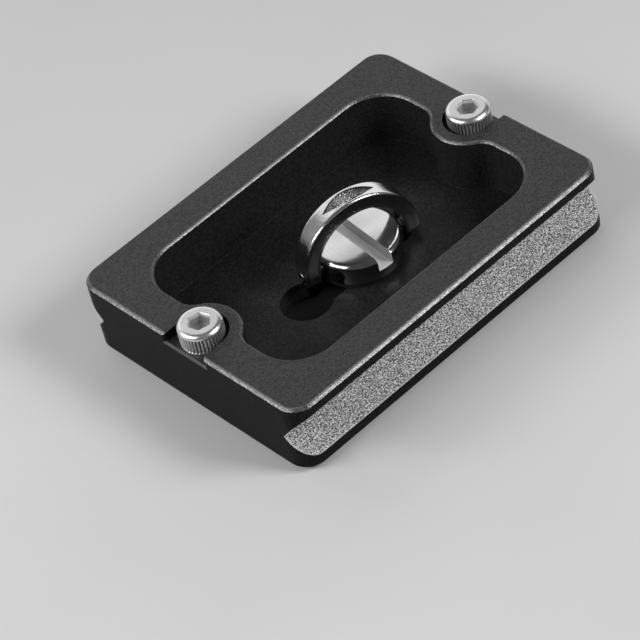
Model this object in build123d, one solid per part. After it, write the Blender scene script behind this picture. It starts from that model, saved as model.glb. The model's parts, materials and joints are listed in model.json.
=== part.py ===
from build123d import *
import math
import os

# Tripod quick release plate, modelled with its clamp side up.
# Millimetres. The origin is the middle of the mounting face, +Z points out of the clamp side,
# X runs along the plate and its screw slot, and Y runs across the dovetail.

# Plate block
PLATE_LENGTH = 51.0
PLATE_HEIGHT = 10.0
FOOT_WIDTH = 38.0  # across the foot that the clamp grips
FLANGE_INSET = 0.25  # mounting side in from the foot's sides
CORNER_RADIUS = 2.75
TOP_CHAMFER = 0.4
BOTTOM_CHAMFER = 0.45

# Dovetail groove along each long side
FOOT_LIP = 1.6  # upright face of the foot, above the groove
GROOVE_DEPTH = 3.25  # in from the foot's side
GROOVE_FLAT = 0.3  # small land at the bottom of the V
FLANK_ANGLE = 45.0

# Pocket in the clamp side
END_WALL = 5.0  # between the pocket and the short ends
SIDE_WALL = 5.0  # between the pocket and the foot's sides
POCKET_RADIUS = 5.5
WEB_THICKNESS = 2.5  # floor left between the pocket and the mounting face
RIM_CHAMFER = 0.3
BOSS_WALL = 1.55  # wall left around each stop screw notch
BOSS_BLEND = 2.7  # hollow corner between boss and end wall

# Stop screws, M3 socket head cap screws, and their notches in the short ends
STOP_INSET = 3.07  # screw axis in from the short end
STOP_THREAD_DIAMETER = 3.0
STOP_THREAD_LENGTH = 5.5
STOP_HEAD_DIAMETER = 5.5
STOP_HEAD_HEIGHT = 3.0
STOP_SOCKET_ACROSS = 2.5
STOP_SOCKET_DEPTH = 1.5
STOP_HEAD_ROUND = 0.45
STOP_SOCKET_TURN = 12.0  # how far the hexagon is turned about the axis
NOTCH_DEPTH = 1.4
NOTCH_CLEARANCE = 0.55  # beside the screw head
NOTCH_LIP_RADIUS = 0.6
NOTCH_SILL_CHAMFER = 0.25
TAPPED_CLEARANCE = 0.02
TAPPED_SPARE = 0.5  # hole depth beyond the screw's end

# Keyhole slot in the pocket floor
KEYHOLE_TRAVEL = 14.4  # from the entry hole's centre to the far end of the screw's slide
ENTRY_CLEARANCE = 0.1  # around the thread, where the screw is put in
NECK_CLEARANCE = 0.1  # beside the neck in the slot

# Captive screw
SCREW_OFFSET = 2.0  # screw axis from the plate's middle, as it is parked in the slot
SCREW_TURN = -13.0  # how far the ring's pivot axis is turned from X
THREAD_DIAMETER = 6.35
THREAD_REACH = 5.0  # below the mounting face
NECK_DIAMETER = 4.7
NECK_DROP = 0.4  # neck carried on below the mounting face, so that the thread clears the plate
HEAD_DIAMETER = 11.0
HEAD_HEIGHT = 3.1
HEAD_CHAMFER = 0.5
HEAD_FOOT_CHAMFER = 0.25
DRIVE_SLOT_WIDTH = 2.1
DRIVE_SLOT_DEPTH = 1.7
DRIVE_SLOT_SKEW = 7.0  # the slot was cut this far off square to the pivot holes
THREAD_TIP_CHAMFER = 0.6

# Washer under the screw head
WASHER_THICKNESS = 0.45
WASHER_INSET = 0.2  # washer rim inside the head's rim
WASHER_THREAD_CLEARANCE = 0.15  # the washer goes on over the thread
RUNNING_GAP = 0.03  # between floor, washer and head

# Ring and its pivot pins
RING_WALL = 1.9
RING_WIDTH = 2.85
RING_HEAD_GAP = 0.6  # beside the screw head
RING_RISE = 0.4  # arch centre above the pivot axis
RING_FLOOR_GAP = 0.25  # under the ring's rounded legs
RING_EDGE_CHAMFER = 0.25
GRIP_SPAN = 54.0  # degrees of the arch taken up by the finger grip
GRIP_WIDTH = 2.05
GRIP_DEPTH = 0.25
PIN_DIAMETER = 1.6
PIN_SEAT = 1.9  # pin length pressed into the head
PIN_PROUD = 0.12  # pin end standing out of the ring
PIN_CLEARANCE = 0.05
PIN_END_CHAMFER = 0.2

# Rubber strips let into the mounting face
PAD_END_MARGIN = 6.5  # from the short ends
PAD_SIDE_MARGIN = 3.75  # from the mounting side's long edges
PAD_WIDTH = 7.0
PAD_CORNER = 1.5
PAD_RECESS = 0.8
PAD_PROUD = 0.4
PAD_EDGE_CHAMFER = 0.2

# Places worked out from the sizes above
HALF_LENGTH = PLATE_LENGTH / 2
FLANK_SLOPE = math.tan(math.radians(FLANK_ANGLE))
FLANGE_WIDTH = FOOT_WIDTH - 2 * FLANGE_INSET
NECK_HALF = FOOT_WIDTH / 2 - GROOVE_DEPTH
GROOVE_TOP = PLATE_HEIGHT - FOOT_LIP
GROOVE_LAND_TOP = GROOVE_TOP - GROOVE_DEPTH * FLANK_SLOPE
GROOVE_LAND_LOW = GROOVE_LAND_TOP - GROOVE_FLAT
GROOVE_LOW = GROOVE_LAND_LOW - (GROOVE_DEPTH - FLANGE_INSET) * FLANK_SLOPE
SPLIT_HEIGHT = (GROOVE_LAND_TOP + GROOVE_LAND_LOW) / 2
POCKET_LENGTH = PLATE_LENGTH - 2 * END_WALL
POCKET_WIDTH = FOOT_WIDTH - 2 * SIDE_WALL
STOP_X = HALF_LENGTH - STOP_INSET
NOTCH_FLOOR = PLATE_HEIGHT - NOTCH_DEPTH
NOTCH_RADIUS = STOP_HEAD_DIAMETER / 2 + NOTCH_CLEARANCE
BOSS_RADIUS = NOTCH_RADIUS + BOSS_WALL
WASHER_FLOOR = WEB_THICKNESS + RUNNING_GAP
HEAD_FLOOR = WASHER_FLOOR + WASHER_THICKNESS + RUNNING_GAP
HEAD_TOP = HEAD_FLOOR + HEAD_HEIGHT
HEAD_RADIUS = HEAD_DIAMETER / 2
RING_INNER = HEAD_RADIUS + RING_HEAD_GAP
RING_OUTER = RING_INNER + RING_WALL
PIVOT_HEIGHT = WEB_THICKNESS + RING_FLOOR_GAP + RING_WIDTH / 2
SCREW_FRAME = Location((SCREW_OFFSET, 0, 0), (0, 0, SCREW_TURN))
PIVOT_FRAME = SCREW_FRAME * Pos(0, 0, PIVOT_HEIGHT)
PAD_LENGTH = PLATE_LENGTH - 2 * PAD_END_MARGIN
PAD_Y = (FLANGE_WIDTH - PAD_WIDTH) / 2 - PAD_SIDE_MARGIN
ENDS = {"left": -1, "right": 1}
PAD_SIDES = {"near": -1, "far": 1}


def plate_half(points, width, low, high):
    """Cross-section given from the split line outwards, run along X and cut to rounded corners."""
    mirrored = [(-y, z) for y, z in reversed(points)]
    section = Plane.YZ * make_face(Polyline(*points, *mirrored, close=True))
    run = extrude(section, amount=HALF_LENGTH, both=True)
    outline = RectangleRounded(PLATE_LENGTH, width, CORNER_RADIUS)
    return run & extrude(Pos(0, 0, low) * outline, amount=high - low)


def block():
    """Plain block with its two dovetail grooves and the chamfers round its top and bottom."""
    foot = plate_half(
        [
            (NECK_HALF, SPLIT_HEIGHT),
            (NECK_HALF, GROOVE_LAND_TOP),
            (FOOT_WIDTH / 2, GROOVE_TOP),
            (FOOT_WIDTH / 2, PLATE_HEIGHT),
        ],
        FOOT_WIDTH,
        SPLIT_HEIGHT,
        PLATE_HEIGHT,
    )
    flange = plate_half(
        [
            (NECK_HALF, SPLIT_HEIGHT),
            (NECK_HALF, GROOVE_LAND_LOW),
            (FLANGE_WIDTH / 2, GROOVE_LOW),
            (FLANGE_WIDTH / 2, 0),
        ],
        FLANGE_WIDTH,
        0,
        SPLIT_HEIGHT,
    )
    foot = chamfer(foot.faces().sort_by(Axis.Z)[-1].edges(), TOP_CHAMFER)
    flange = chamfer(flange.faces().sort_by(Axis.Z)[0].edges(), BOTTOM_CHAMFER)
    return foot + flange


def pocket_outline():
    """Round-cornered pocket with a boss bulging in at each short end."""
    outline = RectangleRounded(POCKET_LENGTH, POCKET_WIDTH, POCKET_RADIUS)
    for side in ENDS.values():
        outline -= Pos(side * STOP_X, 0) * Circle(BOSS_RADIUS)
    corners = [
        vertex
        for vertex in outline.vertices()
        if abs(vertex.Y) < BOSS_RADIUS and abs(abs(vertex.X) - POCKET_LENGTH / 2) < POCKET_LENGTH / 100
    ]
    return fillet(corners, BOSS_BLEND)


def notch_outline(side):
    """U-shaped seat for a stop screw head, open to the short end with rounded lips."""
    mouth = HALF_LENGTH + NOTCH_LIP_RADIUS
    seat = Circle(NOTCH_RADIUS)
    seat += Pos((mouth - STOP_X) / 2, 0) * Rectangle(mouth - STOP_X, 2 * NOTCH_RADIUS)
    lip_y = NOTCH_RADIUS + NOTCH_LIP_RADIUS
    seat += Pos(STOP_INSET, 0) * Rectangle(2 * NOTCH_LIP_RADIUS, 2 * lip_y)
    for lip_side in (-1, 1):
        seat -= Pos(STOP_INSET - NOTCH_LIP_RADIUS, lip_side * lip_y) * Circle(NOTCH_LIP_RADIUS)
    turn = 0 if side > 0 else 180
    return Pos(side * STOP_X, 0) * Rot(0, 0, turn) * seat


def notch_sill(side):
    """Bar that takes the sharp edge off the notch floor where it runs out at the short end."""
    inner = side * (HALF_LENGTH - NOTCH_SILL_CHAMFER)
    outer = side * (HALF_LENGTH + NOTCH_SILL_CHAMFER)
    wedge = Polyline(
        (inner, NOTCH_FLOOR),
        (outer, NOTCH_FLOOR - 2 * NOTCH_SILL_CHAMFER),
        (outer, NOTCH_FLOOR),
        close=True,
    )
    return extrude(Plane.XZ * make_face(wedge), amount=NOTCH_RADIUS + NOTCH_LIP_RADIUS, both=True)


def stop_screw_seat(side):
    """Notch and tapped hole for one stop screw, as the solid to cut away."""
    notch = extrude(Pos(0, 0, NOTCH_FLOOR) * notch_outline(side), amount=NOTCH_DEPTH)
    hole_depth = STOP_THREAD_LENGTH + TAPPED_SPARE
    hole = Circle(STOP_THREAD_DIAMETER / 2 + TAPPED_CLEARANCE)
    drilled = extrude(Pos(side * STOP_X, 0, NOTCH_FLOOR) * hole, amount=-hole_depth)
    return notch + notch_sill(side) + drilled


def keyhole_outline():
    """Round entry hole for the thread, running out into a slot for the neck."""
    entry_x = -KEYHOLE_TRAVEL / 2
    entry = Pos(entry_x, 0) * Circle(THREAD_DIAMETER / 2 + ENTRY_CLEARANCE)
    return entry + SlotCenterToCenter(KEYHOLE_TRAVEL, NECK_DIAMETER + 2 * NECK_CLEARANCE)


def pad_outline(side):
    """Rounded strip on the mounting face, beside the slot."""
    return Pos(0, side * PAD_Y) * RectangleRounded(PAD_LENGTH, PAD_WIDTH, PAD_CORNER)


def plate_body():
    body = block()
    body -= extrude(Pos(0, 0, WEB_THICKNESS) * pocket_outline(), amount=PLATE_HEIGHT - WEB_THICKNESS)
    clamp_face = body.faces().sort_by(Axis.Z)[-1]
    body = chamfer(clamp_face.inner_wires()[0].edges(), RIM_CHAMFER)
    for side in ENDS.values():
        body -= stop_screw_seat(side)
    body -= extrude(keyhole_outline(), amount=WEB_THICKNESS)
    for side in PAD_SIDES.values():
        body -= extrude(pad_outline(side), amount=PAD_RECESS)
    return body


def stop_screw(side):
    """M3 cap screw: rounded head with a hexagon socket, on its thread's outer diameter."""
    head = extrude(Circle(STOP_HEAD_DIAMETER / 2), amount=STOP_HEAD_HEIGHT)
    head = fillet(head.faces().sort_by(Axis.Z)[-1].edges(), STOP_HEAD_ROUND)
    socket = Rot(0, 0, STOP_SOCKET_TURN) * RegularPolygon(STOP_SOCKET_ACROSS / 2, 6, major_radius=False)
    head -= extrude(Pos(0, 0, STOP_HEAD_HEIGHT) * socket, amount=-STOP_SOCKET_DEPTH)
    shank = extrude(Circle(STOP_THREAD_DIAMETER / 2), amount=-STOP_THREAD_LENGTH)
    return Pos(side * STOP_X, 0, NOTCH_FLOOR) * (head + shank)


def screw_profile():
    """Half section of the captive screw: thread, neck and head about its own axis."""
    thread_radius = THREAD_DIAMETER / 2
    neck_radius = NECK_DIAMETER / 2
    shoulder = thread_radius - neck_radius
    points = [
        (0, -THREAD_REACH),
        (thread_radius - THREAD_TIP_CHAMFER, -THREAD_REACH),
        (thread_radius, -THREAD_REACH + THREAD_TIP_CHAMFER),
        (thread_radius, -NECK_DROP - shoulder),
        (neck_radius, -NECK_DROP),
        (neck_radius, HEAD_FLOOR),
        (HEAD_RADIUS - HEAD_FOOT_CHAMFER, HEAD_FLOOR),
        (HEAD_RADIUS, HEAD_FLOOR + HEAD_FOOT_CHAMFER),
        (HEAD_RADIUS, HEAD_TOP - HEAD_CHAMFER),
        (HEAD_RADIUS - HEAD_CHAMFER, HEAD_TOP),
        (0, HEAD_TOP),
    ]
    return Plane.XZ * make_face(Polyline(*points, close=True))


def pin_hole(radius, start, end, side):
    """Round bar along the pivot axis, from one distance off the screw axis to another."""
    bar = Plane.YZ * Circle(radius)
    return PIVOT_FRAME * Pos(side * start, 0, 0) * extrude(bar, amount=side * (end - start))


def camera_screw():
    screw = revolve(screw_profile(), Axis.Z)
    slot = Rot(0, 0, DRIVE_SLOT_SKEW) * Rectangle(DRIVE_SLOT_WIDTH, 2 * HEAD_DIAMETER)
    screw -= extrude(Pos(0, 0, HEAD_TOP) * slot, amount=-DRIVE_SLOT_DEPTH)
    screw = SCREW_FRAME * screw
    for side in ENDS.values():
        screw -= pin_hole(PIN_DIAMETER / 2, HEAD_RADIUS - PIN_SEAT, RING_INNER, side)
    return screw


def slide_washer():
    inner = THREAD_DIAMETER / 2 + WASHER_THREAD_CLEARANCE
    outline = Circle(HEAD_RADIUS - WASHER_INSET) - Circle(inner)
    return extrude(Pos(SCREW_OFFSET, 0, WASHER_FLOOR) * outline, amount=WASHER_THICKNESS)


def ring_arch():
    """Arch over the head with straight legs, seen along the ring's own axis."""
    leg_end = -RING_WIDTH / 2

    def arch(radius):
        leg = Pos(0, (RING_RISE + leg_end) / 2) * Rectangle(2 * radius, RING_RISE - leg_end)
        return Pos(0, RING_RISE) * Circle(radius) + leg

    below = Pos(0, leg_end - RING_OUTER) * Rectangle(4 * RING_OUTER, 2 * RING_OUTER)
    return arch(RING_OUTER) - arch(RING_INNER) - below


def ring_side():
    """The ring seen from its side: an upright strip with rounded lower ends."""
    height = RING_RISE + RING_OUTER
    return Pos(0, height / 2) * Rectangle(RING_WIDTH, height) + Circle(RING_WIDTH / 2)


def finger_grip():
    """Lens-shaped recess let into the top of the arch."""
    half_span = RING_OUTER * math.sin(math.radians(GRIP_SPAN / 2))
    half_width = GRIP_WIDTH / 2
    near = ThreePointArc((-half_span, 0), (0, -half_width), (half_span, 0))
    far = ThreePointArc((half_span, 0), (0, half_width), (-half_span, 0))
    lens = extrude(Pos(0, 0, RING_RISE) * make_face([near, far]), amount=2 * RING_OUTER)
    core = extrude(Plane.XZ * Pos(0, RING_RISE) * Circle(RING_OUTER - GRIP_DEPTH), RING_WIDTH, both=True)
    return lens - core


def d_ring():
    ring = extrude(Plane.XZ * ring_arch(), amount=RING_WIDTH, both=True)
    ring &= extrude(Plane.YZ * ring_side(), amount=2 * RING_OUTER, both=True)
    outer_arcs = [
        edge
        for edge in ring.edges().filter_by(GeomType.CIRCLE)
        if abs(edge.radius - RING_OUTER) < RING_WALL / 10
    ]
    ring = chamfer(outer_arcs, RING_EDGE_CHAMFER)
    ring -= finger_grip()
    ring = PIVOT_FRAME * ring
    for side in ENDS.values():
        ring -= pin_hole(PIN_DIAMETER / 2 + PIN_CLEARANCE, HEAD_RADIUS, 2 * RING_OUTER, side)
    return ring


def pivot_pin(side):
    start = HEAD_RADIUS - PIN_SEAT
    pin = pin_hole(PIN_DIAMETER / 2, start, RING_OUTER + PIN_PROUD, side)
    tip = pin.faces().sort_by_distance((SCREW_OFFSET, 0, PIVOT_HEIGHT))[-1]
    return chamfer(tip.edges(), PIN_END_CHAMFER)


def grip_pad(side):
    pad = extrude(Pos(0, 0, -PAD_PROUD) * pad_outline(side), amount=PAD_PROUD + PAD_RECESS)
    return chamfer(pad.faces().sort_by(Axis.Z)[0].edges(), PAD_EDGE_CHAMFER)


def all_parts():
    parts = {
        "plate_body": plate_body(),
        "camera_screw": camera_screw(),
        "slide_washer": slide_washer(),
        "d_ring": d_ring(),
    }
    for name, side in ENDS.items():
        parts[f"stop_screw_{name}"] = stop_screw(side)
        parts[f"pivot_pin_{name}"] = pivot_pin(side)
    for name, side in PAD_SIDES.items():
        parts[f"grip_pad_{name}"] = grip_pad(side)
    return parts


def main():
    os.makedirs("parts", exist_ok=True)
    for name, shape in all_parts().items():
        export_step(shape, f"parts/{name}.step")


if __name__ == "__main__":
    main()
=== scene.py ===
# %% [markdown]
# A quick release plate for a tripod.
# The black plate is screwed under what the tripod carries, and then slides into a clamp. It is shown with
# its clamp side up: a deep pocket holds a captive screw with a folding finger ring, and a small cap screw at
# each end keeps the plate from slipping out of the clamp.
# The machined solids come in as a fixed frame. This script gives them their finish, and swaps most of them
# for surfaces that carry their fine detail.

# %% Load the machined solids
import json
import math

import bpy
import numpy as np
from mathutils import Matrix, Vector


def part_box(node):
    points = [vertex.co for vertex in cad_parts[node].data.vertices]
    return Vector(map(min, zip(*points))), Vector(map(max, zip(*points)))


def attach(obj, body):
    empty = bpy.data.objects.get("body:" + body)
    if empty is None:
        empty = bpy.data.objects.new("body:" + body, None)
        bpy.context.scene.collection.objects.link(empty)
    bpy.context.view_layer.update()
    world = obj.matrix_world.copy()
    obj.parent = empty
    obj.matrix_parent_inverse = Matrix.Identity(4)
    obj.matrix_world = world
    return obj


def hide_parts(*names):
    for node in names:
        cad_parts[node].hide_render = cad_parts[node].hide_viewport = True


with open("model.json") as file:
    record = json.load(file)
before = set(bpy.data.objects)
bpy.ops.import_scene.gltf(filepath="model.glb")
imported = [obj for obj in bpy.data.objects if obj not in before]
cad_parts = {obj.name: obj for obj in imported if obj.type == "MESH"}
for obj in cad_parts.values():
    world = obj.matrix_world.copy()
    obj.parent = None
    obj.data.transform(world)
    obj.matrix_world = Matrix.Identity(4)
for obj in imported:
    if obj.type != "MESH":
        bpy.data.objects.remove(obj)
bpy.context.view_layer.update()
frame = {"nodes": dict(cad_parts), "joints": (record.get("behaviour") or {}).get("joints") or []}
nodes = frame["nodes"]
MM = 0.001
print("solids:", sorted(nodes))

# %% [markdown]
# The camera looks down on the plate from one corner, with a long lens, so that the plate's edges stay nearly
# parallel. A camera can be turned by hand or by a Track To constraint. Here its place, the point it looks at
# and its roll are three plain values, because they are easy to read and to change.

# %% Camera
CAMERA_PLACE = Vector((-164.12, -229.45, 260.73)) * MM
CAMERA_AIM = Vector((-9.98, -5.79, 5.0)) * MM
CAMERA_ROLL = math.radians(-13.94)
LENS = 179.8
NEAR_CLIP = 0.01


def place(name, data):
    """New object with this data, put into the scene at the origin."""
    made = bpy.data.objects.new(name, data)
    bpy.context.scene.collection.objects.link(made)
    return made


lens = bpy.data.cameras.new("portrait_lens")
lens.lens = LENS
lens.clip_start = NEAR_CLIP
camera = place("portrait_camera", lens)
level = (CAMERA_AIM - CAMERA_PLACE).to_track_quat("-Z", "Y").to_matrix().to_4x4()
camera.matrix_world = Matrix.Translation(CAMERA_PLACE) @ level @ Matrix.Rotation(CAMERA_ROLL, 4, "Z")
bpy.context.scene.camera = camera
print("camera stands", round((CAMERA_AIM - CAMERA_PLACE).length, 3), "m away")

# %% [markdown]
# Materials are built as node trees. Setting up each node takes several lines, so one small helper makes a
# node, sets its options and fills its inputs: a plain value is written into the socket, and another node's
# output is linked to it.


# %% Helpers: shader nodes
def add(tree, kind, inputs=None, **options):
    """Make a node, set its options, and fill its inputs, by name or number, with values or links."""
    made = tree.nodes.new(kind)
    for name, value in options.items():
        setattr(made, name, value)
    for name, value in (inputs or {}).items():
        if isinstance(value, bpy.types.NodeSocket):
            tree.links.new(value, made.inputs[name])
        else:
            made.inputs[name].default_value = value
    return made


def math_node(tree, operation, first, second):
    """One arithmetic step on two values or sockets."""
    return add(tree, "ShaderNodeMath", {0: first, 1: second}, operation=operation).outputs[0]


# %% [markdown]
# Most finishes are greys and gloss that follow a mask. A Color Ramp node could spread a mask over greys, but
# it hides its numbers inside the node. Three helpers keep them in plain sight: one stretches a mask, one
# goes from one value to another by it, and one from one grey to another. The Mix node's colour sockets have
# the same names as its other sockets, so they are given by number.

# %% Helpers: masks and greys
MIX_FIRST, MIX_SECOND, MIX_OUT = 6, 7, 2


def ramp(tree, value, low, high, start=0.0, end=1.0):
    """Value stretched so that low gives start and high gives end, and held there beyond them."""
    stretched = add(tree, "ShaderNodeMapRange", {
        "Value": value, "From Min": low, "From Max": high, "To Min": start, "To Max": end})
    return stretched.outputs["Result"]


def between(tree, mask, first, second):
    """Value that goes from first to second as the mask goes from 0 to 1."""
    return ramp(tree, mask, 0.0, 1.0, first, second)


def tint(tree, mask, first, second):
    """Grey that goes from first to second as the mask goes from 0 to 1; each is a number or a socket."""
    greys = [
        tone if isinstance(tone, bpy.types.NodeSocket) else (tone, tone, tone, 1.0)
        for tone in (first, second)]
    mixed = add(tree, "ShaderNodeMix", {
        "Factor": mask, MIX_FIRST: greys[0], MIX_SECOND: greys[1]}, data_type="RGBA")
    return mixed.outputs[MIX_OUT]


# %% [markdown]
# Every finish is one Principled shader on the piece's own object coordinates, so that its pattern stays put
# when the piece moves. What never changes over the surface is a plain value of the shader. What does change
# is fed in from nodes, and fine relief comes in as a bumped normal.


# %% Helpers: a new finish
def finish(name, **shader_values):
    """New material with one Principled shader: its tree, its shader and its object coordinates."""
    material = bpy.data.materials.new(name)
    material.use_nodes = True
    tree = material.node_tree
    shader = tree.nodes["Principled BSDF"]
    for socket, value in shader_values.items():
        shader.inputs[socket.replace("_", " ")].default_value = value
    coordinates = add(tree, "ShaderNodeTexCoord").outputs["Object"]
    return material, tree, shader, coordinates


def feed(tree, shader, **outputs):
    """Link node outputs to the shader's inputs; an underscore in a name stands for a space."""
    for socket, output in outputs.items():
        tree.links.new(output, shader.inputs[socket.replace("_", " ")])


def bump(tree, height, strength, depth_mm, **inputs):
    """Normal that leans with the slope of a height; further inputs go to the Bump node."""
    made = add(tree, "ShaderNodeBump", {
        "Height": height, "Strength": strength, "Distance": depth_mm * MM, **inputs})
    return made.outputs["Normal"]


# %% [markdown]
# Blasted metal, rubber and paper all have a fine random grain. It could be drawn three times, once in each
# material, but a node group keeps the recipe in one place: every finish below sets its own grain size.
# The group puts out a fine mask, a slow cloudy mask, and a height for bump.

# %% Shared grain
SLOW_SHARE = 0.3


def make_grain():
    """Group: fine noise and slow noise at two sizes, and their mix as a height."""
    tree = bpy.data.node_groups.new("surface_grain", "ShaderNodeTree")
    for name, kind in (("Vector", "Vector"), ("Grain", "Float"), ("Cloud", "Float")):
        tree.interface.new_socket(name, in_out="INPUT", socket_type=f"NodeSocket{kind}")
    for name in ("Fine", "Slow", "Height"):
        tree.interface.new_socket(name, in_out="OUTPUT", socket_type="NodeSocketFloat")
    given = add(tree, "NodeGroupInput").outputs
    fine = add(tree, "ShaderNodeTexNoise", {
        "Vector": given["Vector"], "Detail": 2.0, "Roughness": 0.6,
        "Scale": math_node(tree, "DIVIDE", 1.0 / MM, given["Grain"])}).outputs[0]
    slow = add(tree, "ShaderNodeTexNoise", {
        "Vector": given["Vector"], "Detail": 3.0,
        "Scale": math_node(tree, "DIVIDE", 1.0 / MM, given["Cloud"])}).outputs[0]
    crisp = ramp(tree, fine, low=0.32, high=0.68)
    soft = ramp(tree, slow, low=0.3, high=0.7)
    height = math_node(tree, "ADD", crisp, math_node(tree, "MULTIPLY", soft, SLOW_SHARE))
    add(tree, "NodeGroupOutput", {"Fine": crisp, "Slow": soft, "Height": height})
    return tree


GRAIN = make_grain()


def grain(tree, coordinates, grain_mm, cloud_mm):
    """The shared grain placed in a material, with this finish's own two sizes in millimetres."""
    return add(tree, "ShaderNodeGroup", {
        "Vector": coordinates, "Grain": grain_mm, "Cloud": cloud_mm}, node_tree=GRAIN).outputs


print("shared grain has", len(GRAIN.nodes), "nodes")

# %% [markdown]
# No machined edge is perfectly sharp: a hair of rounding catches the light and wears pale. It could be
# modelled with a Bevel modifier, but round the pocket and the notches the edges are too short for it. The
# Bevel shader node rounds only the normal, and where that leaves the face's own normal there is an edge.

# %% Shared edge wear
BEVEL_SAMPLES = 6


def make_edges():
    """Group: the rounded normal, and a mask that grows as it leaves the face's own normal."""
    tree = bpy.data.node_groups.new("edge_wear", "ShaderNodeTree")
    tree.interface.new_socket("Radius", in_out="INPUT", socket_type="NodeSocketFloat")
    tree.interface.new_socket("Wear", in_out="OUTPUT", socket_type="NodeSocketFloat")
    tree.interface.new_socket("Normal", in_out="OUTPUT", socket_type="NodeSocketVector")
    radius = math_node(tree, "MULTIPLY", add(tree, "NodeGroupInput").outputs["Radius"], MM)
    rounded = add(tree, "ShaderNodeBevel", {"Radius": radius}, samples=BEVEL_SAMPLES).outputs[0]
    own = add(tree, "ShaderNodeNewGeometry").outputs["Normal"]
    agree = add(tree, "ShaderNodeVectorMath", {0: rounded, 1: own}, operation="DOT_PRODUCT").outputs["Value"]
    add(tree, "NodeGroupOutput", {"Wear": ramp(tree, agree, low=0.995, high=0.9), "Normal": rounded})
    return tree


EDGES = make_edges()


def edges(tree, radius_mm):
    """The shared edge wear placed in a material, with this finish's own radius in millimetres."""
    return add(tree, "ShaderNodeGroup", {"Radius": radius_mm}, node_tree=EDGES).outputs


print("edge wear has", len(EDGES.nodes), "nodes")

# %% [markdown]
# The floor is a plain pale sheet, as in a product photograph. It lies just under the plate's rubber strips,
# and the screw's thread goes down through it. The keyhole slot goes right through the plate, and pale paper
# would glow in it. A hole in the floor would stop that, but a black card is simpler: a little smaller than
# the plate, it lies under it out of sight, as painted shade that keeps the keyhole dark.

# %% Floor and card
FLOOR_GAP = 0.04 * MM
FLOOR_HALF = 2.0
CARD_INSET = 2.0 * MM
CARD_LIFT = 0.02 * MM
floor_height = min(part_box("grip_pad_near")[0].z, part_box("grip_pad_far")[0].z) - FLOOR_GAP
plate_low, plate_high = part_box("plate_body")


def matt_paper(name, low, high):
    """Matt paper with a faint cloudy tone."""
    material, tree, shader, coordinates = finish(name, Roughness=0.9, Specular_IOR_Level=0.1)
    texture = grain(tree, coordinates, grain_mm=0.6, cloud_mm=60.0)
    feed(tree, shader,
         Base_Color=tint(tree, texture["Slow"], low, high),
         Normal=bump(tree, texture["Height"], strength=0.05, depth_mm=0.02))
    return material


def flat_sheet(name, half_x, half_y, height, material):
    """Level rectangle about the origin."""
    corners = np.array([(-1, -1), (1, -1), (1, 1), (-1, 1)]) * (half_x, half_y)
    mesh = bpy.data.meshes.new(name)
    mesh.from_pydata([(x, y, height) for x, y in corners], [], [(0, 1, 2, 3)])
    mesh.materials.append(material)
    sheet = place(name, mesh)


flat_sheet("studio_floor", FLOOR_HALF, FLOOR_HALF, floor_height, matt_paper("studio_paper", 0.7, 0.74))
# The black card is painted shade: a dark sheet under the keyhole.
flat_sheet("keyhole_shade_card", plate_high.x - CARD_INSET, plate_high.y - CARD_INSET, floor_height + CARD_LIFT,
           matt_paper("keyhole_shade_paper", 0.014, 0.02))
print("floor at", round(floor_height / MM, 2), "mm")

# %% [markdown]
# A black plate shows little colour of its own: what reads as its shape is light mirrored in its faces. A
# bright backdrop stands behind the plate, dimmer towards the left, and the rest of the dome is dim. Flat
# steel mirrors the backdrop up to its straight top edge, and what leans towards the camera mirrors the dim
# part. A lamp at the front right is mirrored in the flanks and chamfers of the long sides, and a long one at
# the left in those of the short ends and in the round edges of the screws. A ready-made sky picture could
# light the plate too, but plain shapes can be moved until each edge shines as it should.

# %% Light
BACK_LEVEL = 1.0
LEFT_LEVEL = 0.22
DIM_LEVEL = 0.1
BACKDROP_RISE = math.radians(48.6)
BACKDROP_OUTWARD = (0.0, -math.sin(BACKDROP_RISE), math.cos(BACKDROP_RISE))
TOP_EDGE_FADE = (0.006, 0.03)
RIGHTWARD_TURN = math.radians(15.0)
RIGHTWARD = (math.cos(RIGHTWARD_TURN), math.sin(RIGHTWARD_TURN), 0.0)
LEFT_FADE = (-0.1, 0.06)
LIGHT_CENTRE = Vector((0.0, 0.0, 6.0)) * MM
LAMP_DISTANCE = 0.45
WHITE = (1.0, 1.0, 1.0, 1.0)


def toward(azimuth, elevation):
    """Unit direction from two angles in degrees; azimuth is counted from +X towards +Y."""
    turn, rise = math.radians(azimuth), math.radians(elevation)
    return Vector((math.cos(turn) * math.cos(rise), math.sin(turn) * math.cos(rise), math.sin(rise)))


def softbox(name, start, end, width, radiance):
    """Oblong lamp that faces the plate, with its long axis from one direction to the other."""
    first, last = (toward(*angles) * LAMP_DISTANCE for angles in (start, end))
    lamp = bpy.data.lights.new(name, "AREA")
    lamp.shape = "RECTANGLE"
    lamp.size = (last - first).length
    lamp.size_y = width
    lamp.energy = radiance * math.pi * lamp.size * lamp.size_y
    box = place(name, lamp)
    middle = (first + last) / 2
    along = (last - first).normalized()
    outward = middle.normalized()
    facing = Matrix((along, outward.cross(along), outward)).transposed().to_4x4()
    box.matrix_world = Matrix.Translation(LIGHT_CENTRE + middle) @ facing


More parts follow.
